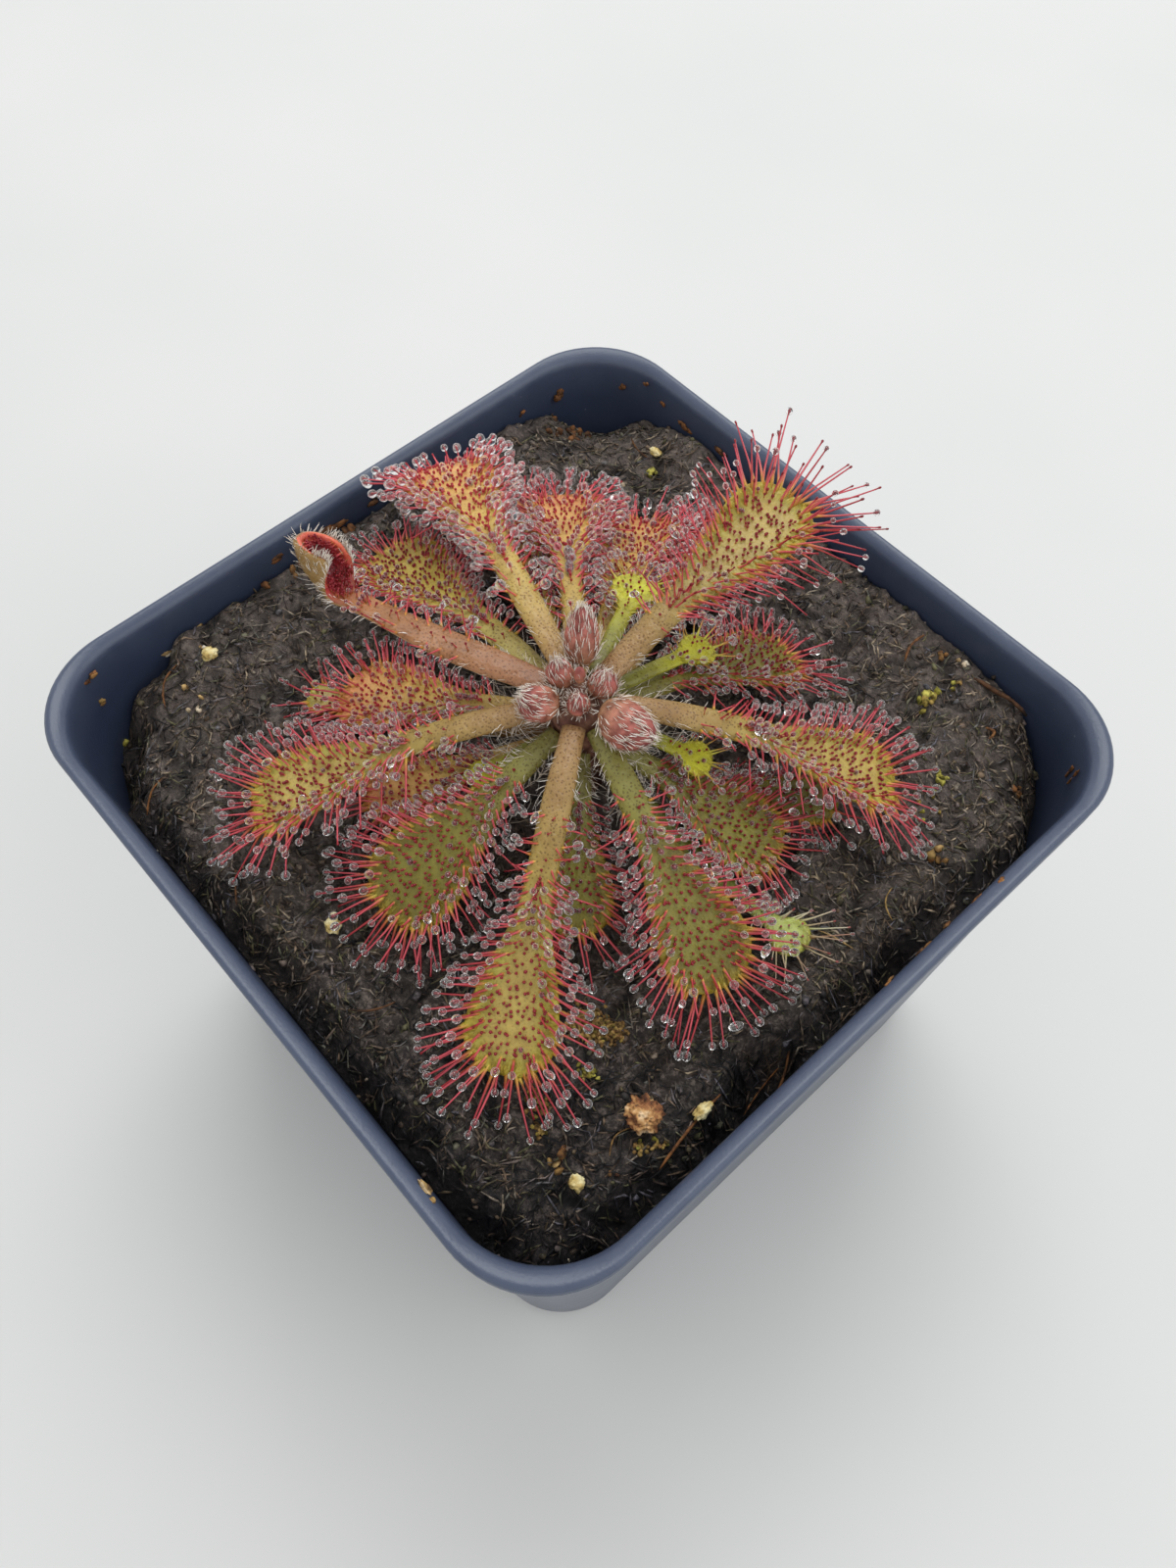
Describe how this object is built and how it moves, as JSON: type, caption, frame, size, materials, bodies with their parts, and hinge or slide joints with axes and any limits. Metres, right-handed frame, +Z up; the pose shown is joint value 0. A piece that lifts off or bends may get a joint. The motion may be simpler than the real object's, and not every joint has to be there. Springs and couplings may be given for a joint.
{
  "type": "potted sundew",
  "caption": "Small sundew rosette of narrow leaves with stalked, dew-tipped glands, growing in compost in a square plastic pot with rounded corners.",
  "frame": {"origin": "centre of the pot's flat base, on the surface that it stands on", "axes": "+Z up; X and Y along the pot's sides. The picture's view has the corner between +X and -Y nearest"},
  "size_m": [0.075, 0.075, 0.0793],
  "materials": {
    "pot": "satin",
    "soil": "matte",
    "stem": "matte",
    "tan_leaf": "satin",
    "green_leaf": "satin",
    "red_leaf": "satin",
    "small_leaf": "satin",
    "unfurling_leaf": "satin",
    "bud": "matte",
    "pumice": "matte",
    "grit": "matte"
  },
  "bodies": {
    "root": {"bud_back": "bud", "bud_front": "bud", "bud_front_left": "bud", "bud_large": "bud", "bud_left": "bud", "bud_right": "bud", "bud_top": "bud", "grit_back": "grit", "grit_far_left": "grit", "grit_front": "grit", "grit_left": "grit", "grit_tan": "grit", "leaf_back_left": "tan_leaf", "leaf_back_middle": "red_leaf", "leaf_back_right": "red_leaf", "leaf_back_under": "red_leaf", "leaf_back_upper": "green_leaf", "leaf_front": "tan_leaf", "leaf_front_left": "green_leaf", "leaf_front_right": "green_leaf", "leaf_front_under": "green_leaf", "leaf_left": "tan_leaf", "leaf_left_low": "red_leaf", "leaf_left_under": "red_leaf", "leaf_raised": "tan_leaf", "leaf_right": "tan_leaf", "leaf_right_back": "green_leaf", "leaf_right_low": "green_leaf", "leaf_right_under": "green_leaf", "leaf_unfurling": "unfurling_leaf", "leaf_upper_left": "green_leaf", "pot": "pot", "pumice_piece": "pumice", "small_leaf_back": "small_leaf", "small_leaf_far_right": "small_leaf", "small_leaf_front_left": "small_leaf", "small_leaf_front_right": "small_leaf", "small_leaf_left": "small_leaf", "small_leaf_right": "small_leaf", "soil": "soil", "stem": "stem"}
  },
  "joints": []
}
